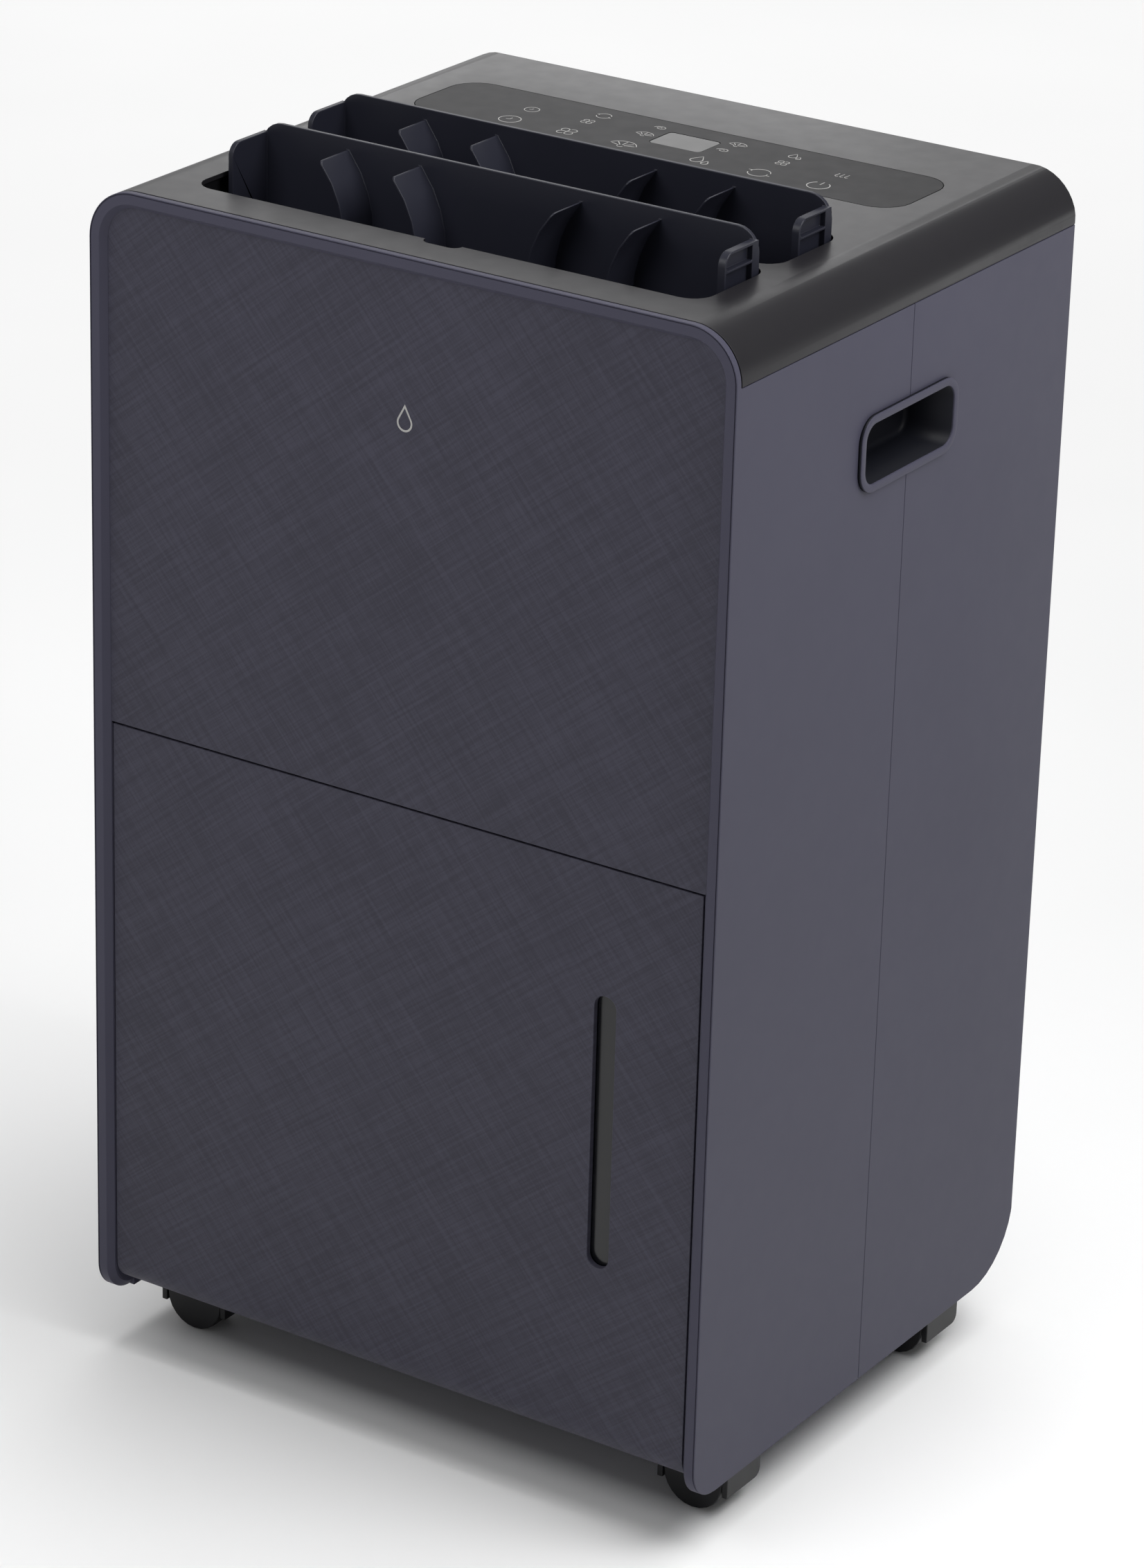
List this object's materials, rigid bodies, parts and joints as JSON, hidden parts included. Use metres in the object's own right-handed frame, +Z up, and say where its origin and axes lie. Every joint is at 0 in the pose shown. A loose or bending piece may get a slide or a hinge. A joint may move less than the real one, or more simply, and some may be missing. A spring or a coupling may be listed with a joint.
{
  "type": "dehumidifier",
  "caption": "Portable compressor dehumidifier: slide-out water bucket with level window, paired swinging air louvres, touch panel, side hand pockets and castors.",
  "frame": {"origin": "on the floor, under the middle of the body's footprint", "axes": "+Z up, +Y towards the back (the intake side), +X to the right of someone facing the front"},
  "size_m": [0.3902, 0.3298, 0.6868],
  "materials": {
    "casing": "satin fine-grained moulding, dark slate violet",
    "cover": "satin fine-grained moulding, charcoal",
    "textured": "satin with a fine cross-hatched linen relief",
    "louvre": "satin, near black with a blue cast",
    "black": "satin black",
    "wheel": "hard satin black wheel plastic",
    "film": "semi-gloss printed film",
    "display": "smoked grey display lens",
    "bucket": "smoky translucent moulding",
    "clear": "dark clear strip",
    "moulding": "plain grey inner moulding",
    "board": "green circuit board",
    "steel": "black enamelled steel",
    "zinc": "bright zinc-plated steel",
    "aluminium": "bare fins",
    "copper": "drawn copper tube",
    "rubber": "matt black rubber",
    "mesh": "woven nylon filter mesh"
  },
  "bodies": {
    "cabinet": {"front_bezel": "casing", "front_panel": "textured", "front_casing": "casing", "rear_casing": "casing", "top_cover": "cover", "hand_pocket_left": "black", "hand_pocket_right": "black", "control_film": "film", "display_window": "display", "control_board": "board", "outlet_duct": "black", "swing_motor": "zinc", "base_tray": "moulding", "bay_divider": "moulding", "drain_channel": "moulding", "compressor": "steel", "compressor_mount": "rubber", "accumulator": "steel", "evaporator": "aluminium", "condenser": "aluminium", "drain_pan": "moulding", "discharge_pipe": "copper", "suction_pipe": "copper", "capillary_tube": "copper", "fan_scroll": "moulding", "fan_motor": "zinc", "electrical_box": "black", "main_board": "board", "run_capacitor": "zinc", "level_sensor": "black", "drain_spout": "black", "power_gland": "rubber", "castor_hood_front_left": "black", "castor_axle_front_left": "zinc", "castor_hood_front_right": "black", "castor_axle_front_right": "zinc", "castor_hood_rear_left": "black", "castor_axle_rear_left": "zinc", "castor_hood_rear_right": "black", "castor_axle_rear_right": "zinc"},
    "bucket": {"bucket": "bucket", "bucket_front": "textured", "level_window": "clear", "bucket_lid": "moulding"},
    "bucket_handle": {"bucket_handle": "black"},
    "float": {"float": "moulding"},
    "front_louvre": {"front_louvre": "louvre"},
    "rear_louvre": {"rear_louvre": "louvre"},
    "louvre_link": {"louvre_link": "black"},
    "blower": {"blower_wheel": "black"},
    "filter": {"intake_grille": "casing", "air_filter": "mesh"},
    "drain_cap": {"drain_cap": "rubber"},
    "wheel_front_left": {"castor_wheel_front_left": "wheel"},
    "wheel_front_right": {"castor_wheel_front_right": "wheel"},
    "wheel_rear_left": {"castor_wheel_rear_left": "wheel"},
    "wheel_rear_right": {"castor_wheel_rear_right": "wheel"}
  },
  "joints": [
    {"name": "bucket_slide", "type": "slide", "parent": "cabinet", "child": "bucket", "axis": [0, -1, 0], "range_m": [0, 0.16]},
    {"name": "bucket_handle_lift", "type": "hinge", "parent": "bucket", "child": "bucket_handle", "pos_m": [0, -0.09845, 0.322], "axis": [1, 0, 0], "range_deg": [0, 60]},
    {"name": "float_rise", "type": "hinge", "parent": "bucket", "child": "float", "pos_m": [-0.15, -0.05645, 0.3], "axis": [-1, 0, 0], "range_deg": [0, 12]},
    {"name": "front_louvre_close", "type": "hinge", "parent": "cabinet", "child": "front_louvre", "pos_m": [0, -0.09195, 0.6465], "axis": [1, 0, 0], "range_deg": [0, 90]},
    {"name": "rear_louvre_close", "type": "hinge", "parent": "cabinet", "child": "rear_louvre", "pos_m": [0, -0.02395, 0.6465], "axis": [1, 0, 0], "range_deg": [0, 90]},
    {"name": "louvre_link_swing", "type": "hinge", "parent": "front_louvre", "child": "louvre_link", "pos_m": [-0.1505, -0.10185, 0.6366], "axis": [1, 0, 0], "range_deg": [-90, 0]},
    {"name": "blower_spin", "type": "hinge", "parent": "cabinet", "child": "blower", "pos_m": [0, -0.07245, 0.5], "axis": [0, 1, 0], "continuous": true},
    {"name": "filter_pull", "type": "slide", "parent": "cabinet", "child": "filter", "axis": [0, 1, 0], "range_m": [0, 0.06]},
    {"name": "drain_cap_pull", "type": "slide", "parent": "cabinet", "child": "drain_cap", "axis": [0, 1, 0], "range_m": [0, 0.03]},
    {"name": "wheel_spin_front_left", "type": "hinge", "parent": "cabinet", "child": "wheel_front_left", "pos_m": [-0.1633, -0.10145, 0.018], "axis": [0, 1, 0], "continuous": true},
    {"name": "wheel_spin_front_right", "type": "hinge", "parent": "cabinet", "child": "wheel_front_right", "pos_m": [0.1633, -0.10145, 0.018], "axis": [0, 1, 0], "continuous": true},
    {"name": "wheel_spin_rear_left", "type": "hinge", "parent": "cabinet", "child": "wheel_rear_left", "pos_m": [-0.1633, 0.10555, 0.018], "axis": [0, 1, 0], "continuous": true},
    {"name": "wheel_spin_rear_right", "type": "hinge", "parent": "cabinet", "child": "wheel_rear_right", "pos_m": [0.1633, 0.10555, 0.018], "axis": [0, 1, 0], "continuous": true}
  ],
  "couplings": [
    {"joint": "rear_louvre_close", "follows": "front_louvre_close", "ratio": 1},
    {"joint": "louvre_link_swing", "follows": "front_louvre_close", "ratio": -1}
  ]
}
